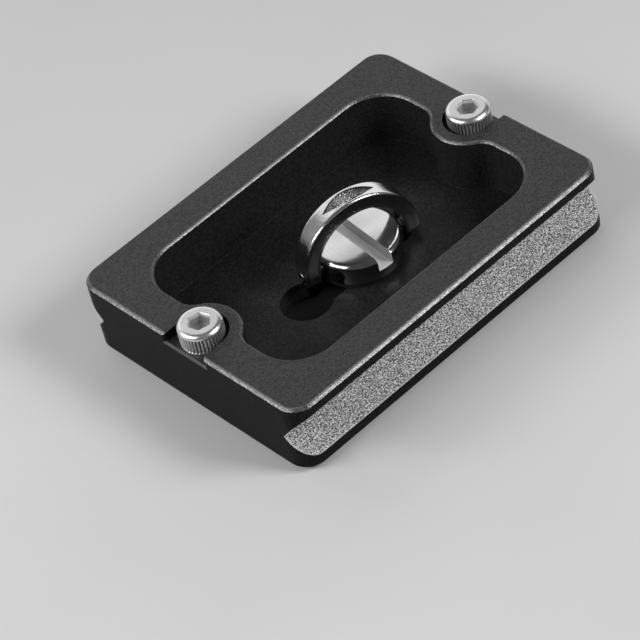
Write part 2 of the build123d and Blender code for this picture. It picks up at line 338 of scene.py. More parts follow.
def studio_dome():
    """Sky with a bright backdrop, bounded by a plane that leans over from behind, and dimmer on its left."""
    world = bpy.data.worlds.new("studio_dome")
    world.use_nodes = True
    tree = world.node_tree
    tree.nodes.clear()
    skyward = add(tree, "ShaderNodeTexCoord").outputs["Generated"]
    right, outward = (
        add(tree, "ShaderNodeVectorMath", {0: skyward, 1: axis}, operation="DOT_PRODUCT").outputs["Value"]
        for axis in (RIGHTWARD, BACKDROP_OUTWARD))
    backdrop = ramp(tree, right, *LEFT_FADE, LEFT_LEVEL, BACK_LEVEL)
    beyond = ramp(tree, outward, *TOP_EDGE_FADE)
    strength = add(tree, "ShaderNodeMix", {"Factor": beyond, "A": backdrop, "B": DIM_LEVEL}).outputs[0]
    light = add(tree, "ShaderNodeBackground", {"Color": WHITE, "Strength": strength})
    add(tree, "ShaderNodeOutputWorld", {"Surface": light.outputs[0]})
    return world


softbox("key_softbox", start=(-72, 36), end=(-46, 36), width=0.17, radiance=12.5)
softbox("left_softbox", start=(135, 22), end=(191, 42), width=0.09, radiance=9.5)
bpy.context.scene.world = studio_dome()
bpy.context.scene.view_settings.view_transform = "Standard"

# %% [markdown]
# The plate itself is one milled block, bead blasted and anodised black. Its solid already has every edge and
# hollow, so its shape is kept. But the flanks that slide in the clamp are worn pale, with pale flecks that
# are partly wear and partly painted sparkle of lamplight, and the chamfers shine. The uprights and the
# pocket get darker, less glossy copies of the black finish, which is painted shade, while the notches'
# floors are finished like the top. One material with masks could follow that, but gloss isn't the same in
# all of them, so each kind of face gets a finish of its own. The solid's triangles are loose, so a copy is
# welded first, which keeps the solid's own smooth normals.

# %% Plate block
FLAT_RISE = 0.9
SLOPE_RISE = 0.3
SKIN_DEPTH = 0.1 * MM
CHAMFER_DEPTH = 0.8 * MM
POCKET_WALL = 5.0 * MM
WELD_DIGITS = 7
FLAT, FLANK, CHAMFER, POCKET, SIDE = range(5)


def welded_copy(name, node):
    """Copy of a solid whose triangles share corners: equal points become one, and normals stay."""
    source = nodes[node].data
    points = np.empty(len(source.vertices) * 3)
    source.vertices.foreach_get("co", points)
    corners = np.empty(len(source.loops), dtype=np.int32)
    source.loops.foreach_get("vertex_index", corners)
    normals = np.empty(len(source.loops) * 3)
    source.corner_normals.foreach_get("vector", normals)
    spots, spot_of = np.unique(points.reshape(-1, 3).round(WELD_DIGITS), axis=0, return_inverse=True)
    mesh = bpy.data.meshes.new(name)
    mesh.from_pydata(spots.tolist(), [], spot_of.ravel()[corners].reshape(-1, 3).tolist())
    mesh.normals_split_custom_set(normals.reshape(-1, 3))
    return place(name, mesh)


def face_kinds(mesh, low, high):
    """Kind of each face, told by how far it looks up and where it lies in the plate's box."""
    normal = np.empty((len(mesh.polygons), 3), dtype=np.float32)
    mesh.polygons.foreach_get("normal", normal.ravel())
    centre = np.empty((len(mesh.polygons), 3), dtype=np.float32)
    mesh.polygons.foreach_get("center", centre.ravel())
    rise = normal[:, 2]
    height = centre[:, 2]
    outer = (height > high.z - SKIN_DEPTH) | (height < low.z + SKIN_DEPTH)
    level = np.abs(rise) > FLAT_RISE
    slope = (rise > SLOPE_RISE) & (rise < FLAT_RISE)
    near_top = height > high.z - CHAMFER_DEPTH
    off_axis = np.abs(centre[:, :2])
    enclosed = (off_axis < np.array(high)[:2] - POCKET_WALL + SKIN_DEPTH).all(axis=1)
    beside = off_axis[:, 1] > high.y - POCKET_WALL
    return np.select(
        [level & outer, slope & near_top, enclosed, slope & beside, level | slope],
        [FLAT, CHAMFER, POCKET, FLANK, FLAT], SIDE)


plate_block = welded_copy("plate_block", "plate_body")
kinds = face_kinds(plate_block.data, plate_low, plate_high)
plate_block.data.polygons.foreach_set("material_index", kinds.astype(np.int32))
print("plate_block has", len(kinds), "faces:", np.bincount(kinds), "flat, flank, chamfer, pocket, side")

# %% [markdown]
# Anodising is a dyed skin on blasted metal, so its tone, gloss and relief all follow the same pits. They
# could be three textures of their own, but one grain that drives all three looks like one surface. On the
# edges the dye is thin. A chamfer shines only along its outer part, with a ragged border.

# %% Finish: black anodised aluminium
SHINE_HEIGHT = plate_high.z - 0.13 * MM
SHINE_FADE = 0.06 * MM
DULL_GAIN = 0.4


def anodised_black(name, grain_mm, tones, roughness, depth, edge_mm=0.1, spread=(0.2, 0.8), **values):
    """Anodised skin whose blasted pits set tone, roughness and bump; it is near black unless it is worn, and
    on the flanks its pale flecks are also painted sparkle.

    Tones are those of pits, ground and edges. Roughness is that of ground and pits.
    """
    material, tree, shader, coordinates = finish(name, **values)
    texture = grain(tree, coordinates, grain_mm, cloud_mm=9.0)
    border = edges(tree, edge_mm)
    pit_tone, ground_tone, edge_tone = tones
    skin_tone = tint(tree, ramp(tree, texture["Fine"], *spread), pit_tone, ground_tone)
    feed(tree, shader,
         Base_Color=tint(tree, border["Wear"], skin_tone, edge_tone),
         Roughness=between(tree, texture["Fine"], roughness[1], roughness[0]),
         Normal=bump(tree, texture["Height"], depth, depth_mm=0.04, Normal=border["Normal"]))
    return material


def cut_chamfer():
    """Chamfer skin that shines up to a height blurred by its grain, and is dull above it."""
    material, tree, shader, coordinates = finish("cut_chamfer", Specular_IOR_Level=0.8)
    texture = grain(tree, coordinates, grain_mm=0.25, cloud_mm=9.0)
    height = add(tree, "ShaderNodeSeparateXYZ", {"Vector": coordinates}).outputs["Z"]
    ragged = math_node(tree, "ADD", height, between(tree, texture["Fine"], -SHINE_FADE, SHINE_FADE))
    dull = ramp(tree, ragged, SHINE_HEIGHT - SHINE_FADE, SHINE_HEIGHT + SHINE_FADE)
    smooth = between(tree, texture["Fine"], 0.34, 0.12)
    feed(tree, shader,
         Base_Color=tint(tree, texture["Fine"], 0.004, 0.16),
         Roughness=math_node(tree, "ADD", smooth, math_node(tree, "MULTIPLY", dull, DULL_GAIN)),
         Normal=bump(tree, texture["Height"], strength=0.4, depth_mm=0.04))
    return material


def wear(piece, *materials):
    """Give a piece these materials, in the order of its faces' kinds; clearing slots would reset those."""
    slots = piece.data.materials
    for number, material in enumerate(materials):
        if number < len(slots):
            slots[number] = material
        else:
            slots.append(material)


wear(
    plate_block,
    anodised_black(
        "anodised_flat", grain_mm=0.24, tones=(0.012, 0.044, 0.12), roughness=(0.38, 0.5), depth=0.5),
    # The flank's pale flecks are partly wear and partly painted sparkle of lamplight.
    anodised_black(
        "worn_flank_and_painted_sparkle", grain_mm=0.17, tones=(0.0, 1.0, 0.9), roughness=(0.3, 0.45), depth=1.0,
        edge_mm=0.5, spread=(0.25, 1.0)),
    cut_chamfer(),
    # The pocket's darker tone is painted shade.
    anodised_black(
        "anodised_pocket_painted_shade", grain_mm=0.3, tones=(0.012, 0.026, 0.028), roughness=(0.36, 0.44), depth=0.15,
        Specular_IOR_Level=0.15),
    # The uprights' darker tone is painted shade.
    anodised_black(
        "anodised_side_painted_shade", grain_mm=0.3, tones=(0.007, 0.018, 0.06), roughness=(0.24, 0.32), depth=0.15,
        Specular_IOR_Level=0.025))
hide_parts("plate_body")
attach(plate_block, "plate")
print("plate_block wears", [material.name for material in plate_block.data.materials])

# %% [markdown]
# The turned pieces are surfaces of two parameters: rows run along a profile, columns run round an axis. A
# Screw modifier could turn a profile too, but not one that changes round the axis. As whole numpy arrays
# such grids are quick to work out, and one helper turns any of them into a closed mesh. The columns meet at
# the seam, and a single point closes each end. Sizes from here on are in millimetres.

# %% Helper: skin over a grid of points
CREASE = math.radians(32.0)


def grid_faces(count, around):
    """Quads between rows of points, and a fan from each end row to one of two points after the last row."""
    index = np.arange(count * around).reshape(count, around)
    beside = np.roll(index, -1, axis=1)
    quads = np.stack([index[:-1], beside[:-1], beside[1:], index[1:]], axis=-1).reshape(-1, 4)
    start = np.full(around, index.size)
    bottom = np.stack([start, beside[0], index[0]], axis=-1)
    top = np.stack([start + 1, index[-1], beside[-1]], axis=-1)
    return quads.tolist() + bottom.tolist() + top.tolist()


def grid_uv(count, around):
    """UV of every corner of grid_faces: columns and rows counted from 0 to 1."""
    u = np.arange(around + 1) / around
    v = np.arange(count) / (count - 1)
    left, right = u[:-1], u[1:]
    middle = (left + right) / 2
    zero, one = np.zeros(around), np.ones(around)
    quad_u = np.broadcast_to(np.stack([left, right, right, left], axis=-1), (count - 1, around, 4))
    quad_v = np.stack([v[:-1], v[:-1], v[1:], v[1:]], axis=-1)[:, None].repeat(around, axis=1)
    quads = np.stack([quad_u, quad_v], axis=-1)
    bottom = np.stack([middle, zero, right, zero, left, zero], axis=-1)
    top = np.stack([middle, one, left, one, right, one], axis=-1)
    return np.concatenate([quads.ravel(), bottom.ravel(), top.ravel()])


def soften(mesh):
    """Smooth shading, with edges that turn more than the crease angle left crisp."""
    mesh.shade_smooth()
    mesh.set_sharp_from_angle(angle=CREASE)


def skin(name, rows, start, end, kinds=0):
    """Closed mesh over rows x columns of points in millimetres; kinds gives each face or row its finish."""
    count, around = rows.shape[:2]
    points = np.vstack([rows.reshape(-1, 3), [start, end]]) * MM
    mesh = bpy.data.meshes.new(name)
    mesh.from_pydata(points.tolist(), [], grid_faces(count, around))
    grid = np.broadcast_to(kinds, (count - 1, around)).astype(np.int32)
    mesh.polygons.foreach_set("material_index", np.concatenate([grid.ravel(), grid[0], grid[-1]]))
    layer = mesh.uv_layers.new(name="turned")
    layer.data.foreach_set("uv", grid_uv(count, around))
    soften(mesh)
    print(name, "has", len(mesh.polygons), "faces")
    return place(name, mesh)


# %% [markdown]
# Two M3 cap screws stand in notches at the short ends. Each is one closed surface from its thread's tip up
# round the knurled head, with a plain belt under the knurl, and down into the hexagon socket. An Array
# modifier could repeat one tooth, but as ripples of the radius nothing has to be joined: teeth repeat round
# the axis, and the thread repeats along it while it shifts once per turn. The sockets are turned
# differently, because a tightened screw stops where it will.

# %% Stop screws: thread sizes
STOP_PITCH = 0.5
STOP_PITCH_ROWS = 8
STOP_THREAD_RADIUS = 1.5
STOP_THREAD_DEPTH = 0.3
STOP_TIP_RADIUS = 0.8
STOP_TIP_BEVEL = 0.35
STOP_RUN_OUT = 0.3
SHANK_LENGTH = 0.2
SHANK_INSET = 0.05
THREAD_GAIN = 1.25

# %% Stop screws: head sizes
HEAD_HEIGHT_M3 = 3.0
HEAD_ROUND_M3 = 0.45
HEAD_FULLNESS = 1.4
SEAT_INSET = 0.2
BELT_INSET = 0.06
BELT_LOW = 0.1
BELT_HIGH = 0.3
KNURL_TEETH = 40
KNURL_DEPTH = 0.17
KNURL_GAIN = 1.5
KNURL_ROWS = 6
KNURL_ABOVE_BELT = 0.06
KNURL_BELOW_ROUND = 0.25
TOOTH_STEPS = 6
COLLAR_INSET = 0.02
COLLAR_DROP = 0.15
TOP_RINGS = (2.1, 1.8)
ROUND_ROWS = 7

# %% Stop screws: socket sizes
SOCKET_ACROSS = 2.5
SOCKET_DEPTH = 1.5
SOCKET_LIT = 0.5
SOCKET_RIM_WIDTH = 0.07
SOCKET_RIM_DEPTH = 0.08
SOCKET_CONE_SHARE = 0.6
SOCKET_CONE_EDGE = 0.04
SOCKET_CONE_DEPTH = 0.12
SOCKET_TURN = {"left": math.radians(45.0), "right": math.radians(13.0)}


# %% Stop screws: waves and stations
def full_turn(steps):
    """Angles of equal steps once round."""
    return np.arange(steps) * 2 * np.pi / steps


def triangle(turns):
    """Triangle wave: 1 at whole turns, falling straight to 0 half way between them."""
    return np.abs(2 * (turns % 1.0) - 1)


def blunted(wave, gain):
    """Wave made steeper by the gain about its middle, and cut off flat at 0 and 1."""
    return np.clip(gain * wave - (gain - 1) / 2, 0.0, 1.0)


def thread_radius(angle, height, crest, pitch, depth):
    """Crest minus depth times a blunted triangle wave of height over pitch, shifted once per turn."""
    wave = triangle(height / pitch - angle / (2 * np.pi))
    return crest - depth * blunted(wave, THREAD_GAIN)


def hexagon_radius(angle, across):
    """Distance to a hexagon's side: half its width over the cosine of the angle from that side's middle."""
    sixth = np.pi / 3
    return across / 2 / np.cos((angle % sixth) - sixth / 2)


def quarter_round(radius, height, size, fullness=2.0):
    """Stations over a top outer edge, from its side to its top: a circle at fullness 2, a bevel near 1."""
    turn = np.linspace(0, np.pi / 2, ROUND_ROWS)
    inward = size * (1 - np.cos(turn) ** (2 / fullness))
    upward = size * np.sin(turn) ** (2 / fullness)
    return list(zip(radius - inward, height - size + upward))


def stack(angle, stations):
    """Rows of points from stations of (radius, height); each may be a number or vary with the angle."""
    radius = np.stack([np.broadcast_to(r, angle.shape) for r, _ in stations])
    height = np.stack([np.broadcast_to(h, angle.shape) for _, h in stations])
    return np.stack([radius * np.cos(angle), radius * np.sin(angle), height], axis=-1)


# %% Stop screws: shape
def cap_screw(name, node, socket_turn):
    """One stop screw, stood where its solid stands: stations of (radius, height) carried round its axis.

    Kinds: 0 plain metal, 1 thread and knurl, 2 the upper part of the socket's wall, painted light, 3 the
    socket's depth, painted shade.
    """
    low, high = (np.array(corner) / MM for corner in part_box(node))
    radius = (high - low)[1] / 2
    tip, top = low[2], high[2]
    seat = top - HEAD_HEIGHT_M3
    shoulder = top - HEAD_ROUND_M3
    socket_floor = top - SOCKET_DEPTH
    shank = STOP_THREAD_RADIUS - SHANK_INSET
    belt = radius - BELT_INSET
    angle = full_turn(KNURL_TEETH * TOOTH_STEPS)
    tooth = triangle(angle * KNURL_TEETH / (2 * np.pi))
    knurl = radius - KNURL_DEPTH * blunted(tooth, KNURL_GAIN)
    knurl_rows = np.linspace(seat + BELT_HIGH + KNURL_ABOVE_BELT, shoulder - KNURL_BELOW_ROUND, KNURL_ROWS)
    threads = np.arange(tip + STOP_TIP_BEVEL, seat - STOP_RUN_OUT, STOP_PITCH / STOP_PITCH_ROWS)
    hexagon = hexagon_radius(angle - socket_turn, SOCKET_ACROSS)

    stations = [(STOP_TIP_RADIUS, tip), (STOP_THREAD_RADIUS - STOP_TIP_BEVEL, tip)]
    stations += [
        (thread_radius(angle, z, STOP_THREAD_RADIUS, STOP_PITCH, STOP_THREAD_DEPTH), z) for z in threads]
    stations += [(shank, seat - SHANK_LENGTH), (shank, seat)]
    belt_start = len(stations)
    stations += [(radius - SEAT_INSET, seat), (belt, seat + BELT_LOW), (belt, seat + BELT_HIGH)]
    knurl_start = len(stations)
    stations += [(knurl, z) for z in knurl_rows]
    knurl_end = len(stations) - 1
    stations += [(radius - COLLAR_INSET, shoulder - COLLAR_DROP)]
    stations += quarter_round(radius, top, HEAD_ROUND_M3, HEAD_FULLNESS)
    stations += [(ring_radius, top) for ring_radius in TOP_RINGS]
    stations += [(hexagon + SOCKET_RIM_WIDTH, top), (hexagon, top - SOCKET_RIM_DEPTH)]
    wall_start = len(stations) - 1
    stations += [(hexagon, top - SOCKET_LIT), (hexagon, socket_floor)]
    stations += [(hexagon * SOCKET_CONE_SHARE, socket_floor - SOCKET_CONE_EDGE)]

    centre = np.array([(low[0] + high[0]) / 2, (low[1] + high[1]) / 2, 0.0])
    row = np.arange(len(stations) - 1)[:, None]
    rippled = (row < belt_start) | ((row >= knurl_start) & (row < knurl_end))
    kinds = np.select([rippled, row == wall_start, row > wall_start], [1, 2, 3], 0)
    ends = centre + (0, 0, tip), centre + (0, 0, socket_floor - SOCKET_CONE_DEPTH)
    return skin(name, stack(angle, stations) + centre, *ends, kinds)


stop_screws = {
    side: cap_screw(f"cap_screw_{side}", f"stop_screw_{side}", turn) for side, turn in SOCKET_TURN.items()}

# %% [markdown]
# Steel is bright, so its finish is mostly what it mirrors: slow smudges vary its tone and fine specks its
# gloss. The valleys of the knurl are painted dark, as painted shade. They could be found by their depth, but
# the UV map already counts once round the axis, so the teeth are counted along it. In the socket, the upper
# wall is pale and matt as painted light, and the depth is darker as painted shade.

# %% Finish: bright steel
SMUDGE = 0.86


def bright_steel(name, tone, roughness, metallic=1.0, grain_mm=0.12, depth=0.06):
    """Bright steel: slow smudges darken its tone a little, and fine specks vary its roughness."""
    material, tree, shader, coordinates = finish(name, Metallic=metallic)
    texture = grain(tree, coordinates, grain_mm, cloud_mm=2.5)
    feed(tree, shader,
         Base_Color=tint(tree, texture["Slow"], SMUDGE * tone, tone),
         Roughness=between(tree, texture["Fine"], *roughness),
         Normal=bump(tree, texture["Height"], depth, depth_mm=0.01))
    return material


def knurled_steel():
    """Steel whose knurl valleys, counted round the axis by its UV map, are painted dark as shade."""
    material, tree, shader, coordinates = finish("knurled_steel", Metallic=0.65)
    texture = grain(tree, coordinates, grain_mm=0.2, cloud_mm=2.5)
    lay = add(tree, "ShaderNodeUVMap", uv_map="turned").outputs["UV"]
    around = add(tree, "ShaderNodeSeparateXYZ", {"Vector": lay}).outputs["X"]
    tooth = math_node(tree, "PINGPONG", math_node(tree, "MULTIPLY", around, 2.0 * KNURL_TEETH), 1.0)
    crest = ramp(tree, tooth, low=0.15, high=0.75)
    metal = tint(tree, texture["Fine"], 0.4, 0.7)
    feed(tree, shader,
         # Dark knurl valleys: painted shade.
         Base_Color=tint(tree, crest, 0.16, metal),
         Roughness=between(tree, texture["Fine"], 0.32, 0.46))
    return material


stop_finishes = [
    bright_steel("stainless_steel", tone=0.92, roughness=(0.24, 0.34)),
    knurled_steel(),
    # The socket's upper wall is painted light, and its depth painted shade.
    bright_steel("socket_wall_painted_light", tone=0.9, roughness=(0.4, 0.5), metallic=0.2),
    bright_steel("socket_depth_painted_shade", tone=0.5, roughness=(0.4, 0.55), metallic=0.5)]
for side, piece in stop_screws.items():
    wear(piece, *stop_finishes)
    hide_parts(f"stop_screw_{side}")
    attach(piece, "plate")

# %% [markdown]
# The captive screw has a wide slotted head, a neck that slides in the keyhole slot, and a quarter inch
# thread with 20 turns to the inch. It is turned as one surface like the cap screws, and then the
# screwdriver slot and the two pivot holes are cut out of it, because a straight slot doesn't follow the
# rows and columns of a turned shape.

# %% Captive screw: sizes
TURN_STEPS = 192
INCH = 25.4
SCREW_PITCH = INCH / 20
SCREW_PITCH_ROWS = 14
SCREW_THREAD_RADIUS = INCH / 8
SCREW_THREAD_DEPTH = 0.65
SCREW_TIP_RADIUS = 1.2
SCREW_TIP_INSET = 0.8
LEAD_IN_START = 0.1
LEAD_IN_INSET = 0.75
LEAD_IN_SLOPE = 1.1
SCREW_RUN_OUT = 0.9
NECK_RADIUS = 2.35
NECK_END = -0.4
NECK_FLARE = 0.14
NECK_FLARE_LOW = 0.5
NECK_FLARE_HIGH = 0.2
HEAD_FLOOR = 3.01
HEAD_UNDER_BEVEL = 0.25
HEAD_CHAMFER = 0.45
HEAD_CROWN = 0.04
SOFT_EDGE_IN = 0.04
SOFT_EDGE_ALONG = 0.08
FACE_ROWS = 16
FACE_MARGIN = 0.1
FACE_MIDDLE = 0.3

# %% Captive screw: cuts and place
SLOT_WIDTH = 2.1
SLOT_DEPTH = 1.7
SLOT_SKEW = math.radians(7.0)
CUT_BEYOND = 1.0
PIN_RADIUS = 0.8
PIN_SEAT = 1.9
PIN_STEPS = 48

screw_low, screw_high = (np.array(corner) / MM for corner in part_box("camera_screw"))
fold = next(joint for joint in frame["joints"] if joint["name"] == "ring_fold")
pivot_centre = np.array(fold["pos_m"]) / MM
pivot_axis = np.array(fold["axis"])
head_radius = (screw_high - screw_low)[1] / 2
head_top = screw_high[2]
print("the ring folds about", pivot_centre.round(2), "mm, along", pivot_axis.round(3))


# %% Captive screw: shape
def captive_screw():
    """Thread, neck and head as one turned surface about the screw's axis; the head's crown falls as a cubic.

    Kinds: 0 the faced top of the head, 1 everything else.
    """
    angle = full_turn(TURN_STEPS)
    tip = screw_low[2]
    crest = SCREW_THREAD_RADIUS
    rim = head_top - HEAD_CROWN / 2
    flat = head_radius - HEAD_CHAMFER
    heights = np.arange(tip + LEAD_IN_START, NECK_END - SCREW_RUN_OUT, SCREW_PITCH / SCREW_PITCH_ROWS)
    lead_in = np.minimum(crest, crest - LEAD_IN_INSET + (heights - tip) * LEAD_IN_SLOPE)
    full = thread_radius(angle, heights[:, None], crest, SCREW_PITCH, SCREW_THREAD_DEPTH)
    across = np.linspace(flat - FACE_MARGIN, FACE_MIDDLE, FACE_ROWS)

    stations = [(SCREW_TIP_RADIUS, tip), (crest - SCREW_TIP_INSET, tip)]
    stations += list(zip(np.minimum(full, lead_in[:, None]), heights))
    stations += [(NECK_RADIUS + NECK_FLARE, NECK_END - NECK_FLARE_LOW)]
    stations += [(NECK_RADIUS, NECK_END - NECK_FLARE_HIGH), (NECK_RADIUS, HEAD_FLOOR)]
    stations += [(head_radius - HEAD_UNDER_BEVEL, HEAD_FLOOR), (head_radius, HEAD_FLOOR + HEAD_UNDER_BEVEL)]
    stations += [(head_radius, rim - HEAD_CHAMFER)]
    stations += [(head_radius - SOFT_EDGE_IN, rim - HEAD_CHAMFER + SOFT_EDGE_ALONG)]
    stations += [(flat + SOFT_EDGE_ALONG, rim - SOFT_EDGE_IN), (flat, rim)]
    stations += list(zip(across, rim + HEAD_CROWN * (1 - (across / head_radius) ** 3)))

    centre = np.array([pivot_centre[0], pivot_centre[1], 0.0])
    faced = np.arange(len(stations) - 1)[:, None] >= len(stations) - len(across)
    ends = centre + (0, 0, tip), centre + (0, 0, rim + HEAD_CROWN)
    return skin("camera_screw_turned", stack(angle, stations) + centre, *ends, np.where(faced, 0, 1))


screw = captive_screw()

# %% [markdown]
# The slot and the holes are cut with the Boolean modifier: a closed cutter is taken away from the screw, and
# the new faces take over the cutter's finish. Both cutters lie along or across the pivot axis, so they are
# laid out on that axis first, and then moved to where the ring is hung.


# %% Captive screw: cutters
def pivot_place(points):
    """Points given along the pivot axis, across it and up, moved to where the ring is hung."""
    across = np.array([-pivot_axis[1], pivot_axis[0], 0.0])
    axes = np.stack([pivot_axis, across, [0.0, 0.0, 1.0]])
    return pivot_centre + np.asarray(points) @ axes


def bar(name, half_width, half_length, low, high):
    """Long upright-sided block across the screw's axis. Kinds: 0 its floor, 1 its walls."""
    corners = np.array([(1, 1), (-1, 1), (-1, -1), (1, -1)]) * (half_width, half_length)
    cosine, sine = math.cos(SLOT_SKEW), math.sin(SLOT_SKEW)
    turned = corners @ np.array([[cosine, sine], [-sine, cosine]])
    levels = ((0.5, low), (1, low), (1, high))
    rows = np.stack([np.column_stack([turned * size, np.full(4, z)]) for size, z in levels])
    ends = np.array([(0, 0, low), (0, 0, high)])
    drop = (0, 0, pivot_centre[2])
    return skin(name, pivot_place(rows - drop), *pivot_place(ends - drop), np.array([[0], [1]]))


def rod(name, radius, start, end):
    """Plain round rod along the pivot axis, from one distance off the screw's axis to another."""
    angle = full_turn(PIN_STEPS)
    circle = np.stack([np.cos(angle) * radius, np.sin(angle) * radius], axis=-1)
    order = sorted((start, end))
    rows = np.stack([np.column_stack([np.full(PIN_STEPS, along), circle]) for along in order])
    return skin(name, pivot_place(rows), *pivot_place([(along, 0, 0) for along in order]))


def carve(piece, cutters, *finishes):
    """Cut closed cutters out of a piece; new faces get the cutters' finishes, and the cutters go."""
    for cutter in cutters:
        wear(cutter, *finishes)
        cut = piece.modifiers.new("cut", "BOOLEAN")
        cut.operation = "DIFFERENCE"
        cut.solver = "EXACT"
        cut.material_mode = "TRANSFER"
        cut.object = cutter
    whole = piece.evaluated_get(bpy.context.evaluated_depsgraph_get())
    piece.modifiers.clear()
    piece.data = bpy.data.meshes.new_from_object(whole)
    for cutter in cutters:
        bpy.data.objects.remove(cutter)
    soften(piece.data)
    print(piece.name, "carved to", len(piece.data.polygons), "faces")


# %% [markdown]
# A lathe leaves fine rings round the axis, and they draw every glint out across them. The rings could be
# modelled, but they are far too fine. Here noise is stretched round the axis by the UV map, and the shader's
# anisotropy follows the same map.

# %% Finish: turned steel
RINGS_ALONG = 170.0


def turned_steel():
    """Bright steel off the lathe: fine rings round the axis, and gloss drawn out across them."""
    material, tree, shader, coordinates = finish(
        "turned_steel", Metallic=1.0, Anisotropic=0.8, Anisotropic_Rotation=0.25)
    texture = grain(tree, coordinates, grain_mm=0.2, cloud_mm=3.0)
    lay = add(tree, "ShaderNodeUVMap", uv_map="turned").outputs["UV"]
    rings = add(tree, "ShaderNodeMapping", {"Vector": lay, "Scale": (0.0, RINGS_ALONG, 1.0)}).outputs[0]
    marks = add(tree, "ShaderNodeTexNoise", {"Vector": rings, "Scale": 1.0, "Detail": 2.0}).outputs[0]
    streaks = math_node(tree, "MULTIPLY", marks, between(tree, texture["Slow"], 0.8, 1.1))
    direction = add(tree, "ShaderNodeTangent", direction_type="UV_MAP", uv_map="turned")
    feed(tree, shader,
         Base_Color=tint(tree, ramp(tree, streaks, low=0.3, high=0.7), 0.62, 0.8),
         Roughness=ramp(tree, marks, low=0.3, high=0.7, start=0.08, end=0.15),
         Normal=bump(tree, marks, strength=0.05, depth_mm=0.01),
         Tangent=direction.outputs["Tangent"])
    return material


# The slot's floor is pale and matt as painted light, and its walls darker as painted shade.
milled_floor_painted_light = bright_steel("milled_floor_painted_light", tone=1.0, roughness=(0.3, 0.4), metallic=0.3)
milled_wall_painted_shade = bright_steel("milled_wall_painted_shade", tone=0.5, roughness=(0.3, 0.4), metallic=0.7)
wear(screw, turned_steel(), bright_steel("polished_steel", tone=0.5, roughness=(0.08, 0.14)))
slot_cutter = bar(
    "slot_cutter", SLOT_WIDTH / 2, 2 * head_radius, head_top - SLOT_DEPTH, head_top + CUT_BEYOND)
hole_cutters = [
    rod("hole_cutter", PIN_RADIUS, side * (head_radius - PIN_SEAT), side * (head_radius + CUT_BEYOND))
    for side in (-1, 1)]
carve(screw, [slot_cutter, *hole_cutters], milled_floor_painted_light, milled_wall_painted_shade)
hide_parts("camera_screw")
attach(screw, "screw")

# %% [markdown]
# The finger ring is a flat chromed band bent into an arch over the screw head, with rounded feet where the
# pivot pins pass through. It could be a curve with a bevel, but its section changes on the way. So it is a
# section carried along a path: up one leg, round the arch and down the other leg. At each foot the band
# narrows to a half circle. On top, a lens-shaped grip is let into the band and filled with small pyramids.

# %% Ring: sizes
RING_INNER = 6.1
RING_OUTER = 8.0
RING_RISE = 0.4
HALF_BAND = 1.425
EDGE_ROUND = 0.28
EDGE_SHARE = 0.4
GRIP_HALF_SPAN = math.radians(27.0)
GRIP_HALF_WIDTH = 1.025
GRIP_LEAST_WIDTH = 0.01
GRIP_DEPTH = 0.22
GRIP_WALL_LEAN = 0.9
PYRAMID_PITCH = 0.42
PYRAMID_HEIGHT = 0.17
HOLE_RADIUS = 0.85
ARCH_ROWS = 361
FOOT_ROWS = 24
LEG_ROWS = 5
LENS_COLUMNS = 31
MARGIN_COLUMNS = 5
FACE_COLUMNS = 6
EDGE_COLUMNS = 6


# %% Ring: path and section
def ring_path():
    """Rows along the band: arch angle, drop below the arch's centre, and half width, from foot to foot."""
    slope = np.linspace(0, np.pi / 2, FOOT_ROWS)[1:-1]
    foot_drop = RING_RISE + HALF_BAND * np.cos(slope)
    foot_half = HALF_BAND * np.sin(slope)
    leg_drop = np.linspace(RING_RISE, 0, LEG_ROWS)
    drop = np.concatenate([foot_drop, leg_drop])
    half = np.concatenate([foot_half, np.full(LEG_ROWS, HALF_BAND)])
    arch = np.linspace(-np.pi / 2, np.pi / 2, ARCH_ROWS)[1:-1]
    angle = np.concatenate([np.full(len(drop), -np.pi / 2), arch, np.full(len(drop), np.pi / 2)])
    drops = np.concatenate([drop, arch * 0, drop[::-1]])
    halves = np.concatenate([half, arch * 0 + HALF_BAND, half[::-1]])
    return angle[:, None], drops[:, None], halves[:, None]


def pyramids(along, across):
    """Diamond knurl: the lower of two crossed triangle waves, each at 45 degrees to the band."""
    return np.minimum(triangle((along + across) / PYRAMID_PITCH), triangle((along - across) / PYRAMID_PITCH))


def ring_section(angle, half):
    """Radius and sideways place round the section: outer face with grip, edge, side, inside, side, edge."""
    inside = np.clip(1 - (np.sin(angle) / np.sin(GRIP_HALF_SPAN)) ** 2, 0.0, 1.0)
    lens_half = np.maximum(GRIP_HALF_WIDTH * inside, GRIP_LEAST_WIDTH) * half / HALF_BAND
    edge = np.minimum(EDGE_ROUND, half * EDGE_SHARE)
    flat = half - edge
    margin = np.linspace(0, 1, MARGIN_COLUMNS)
    across = np.linspace(-1, 1, LENS_COLUMNS)
    near_margin = -flat + (flat - lens_half) * margin
    grip_y = lens_half * across * GRIP_WALL_LEAN
    outer_y = np.hstack([near_margin, grip_y, -near_margin[:, ::-1]])
    grip = (GRIP_DEPTH - PYRAMID_HEIGHT * pyramids(RING_OUTER * angle, grip_y)) * (inside > 0)
    outer_r = RING_OUTER - np.hstack([near_margin * 0, grip, near_margin * 0])
    turn = np.linspace(0, np.pi / 2, EDGE_COLUMNS)[1:]
    edge_y = half - edge + edge * np.sin(turn)
    edge_r = RING_OUTER - edge + edge * np.cos(turn)
    side_r = np.linspace(RING_OUTER - EDGE_ROUND, RING_INNER, FACE_COLUMNS)[1:]
    inner_y = half * np.linspace(1, -1, FACE_COLUMNS)[1:-1]
    side_y = half + 0 * side_r
    y = np.hstack([outer_y, edge_y, side_y, inner_y, -side_y, -edge_y[:, ::-1]])
    r = np.hstack([outer_r, edge_r, side_r + 0 * half, RING_INNER + 0 * inner_y,
                   side_r[::-1] + 0 * half, edge_r[:, ::-1]])
    return r, y


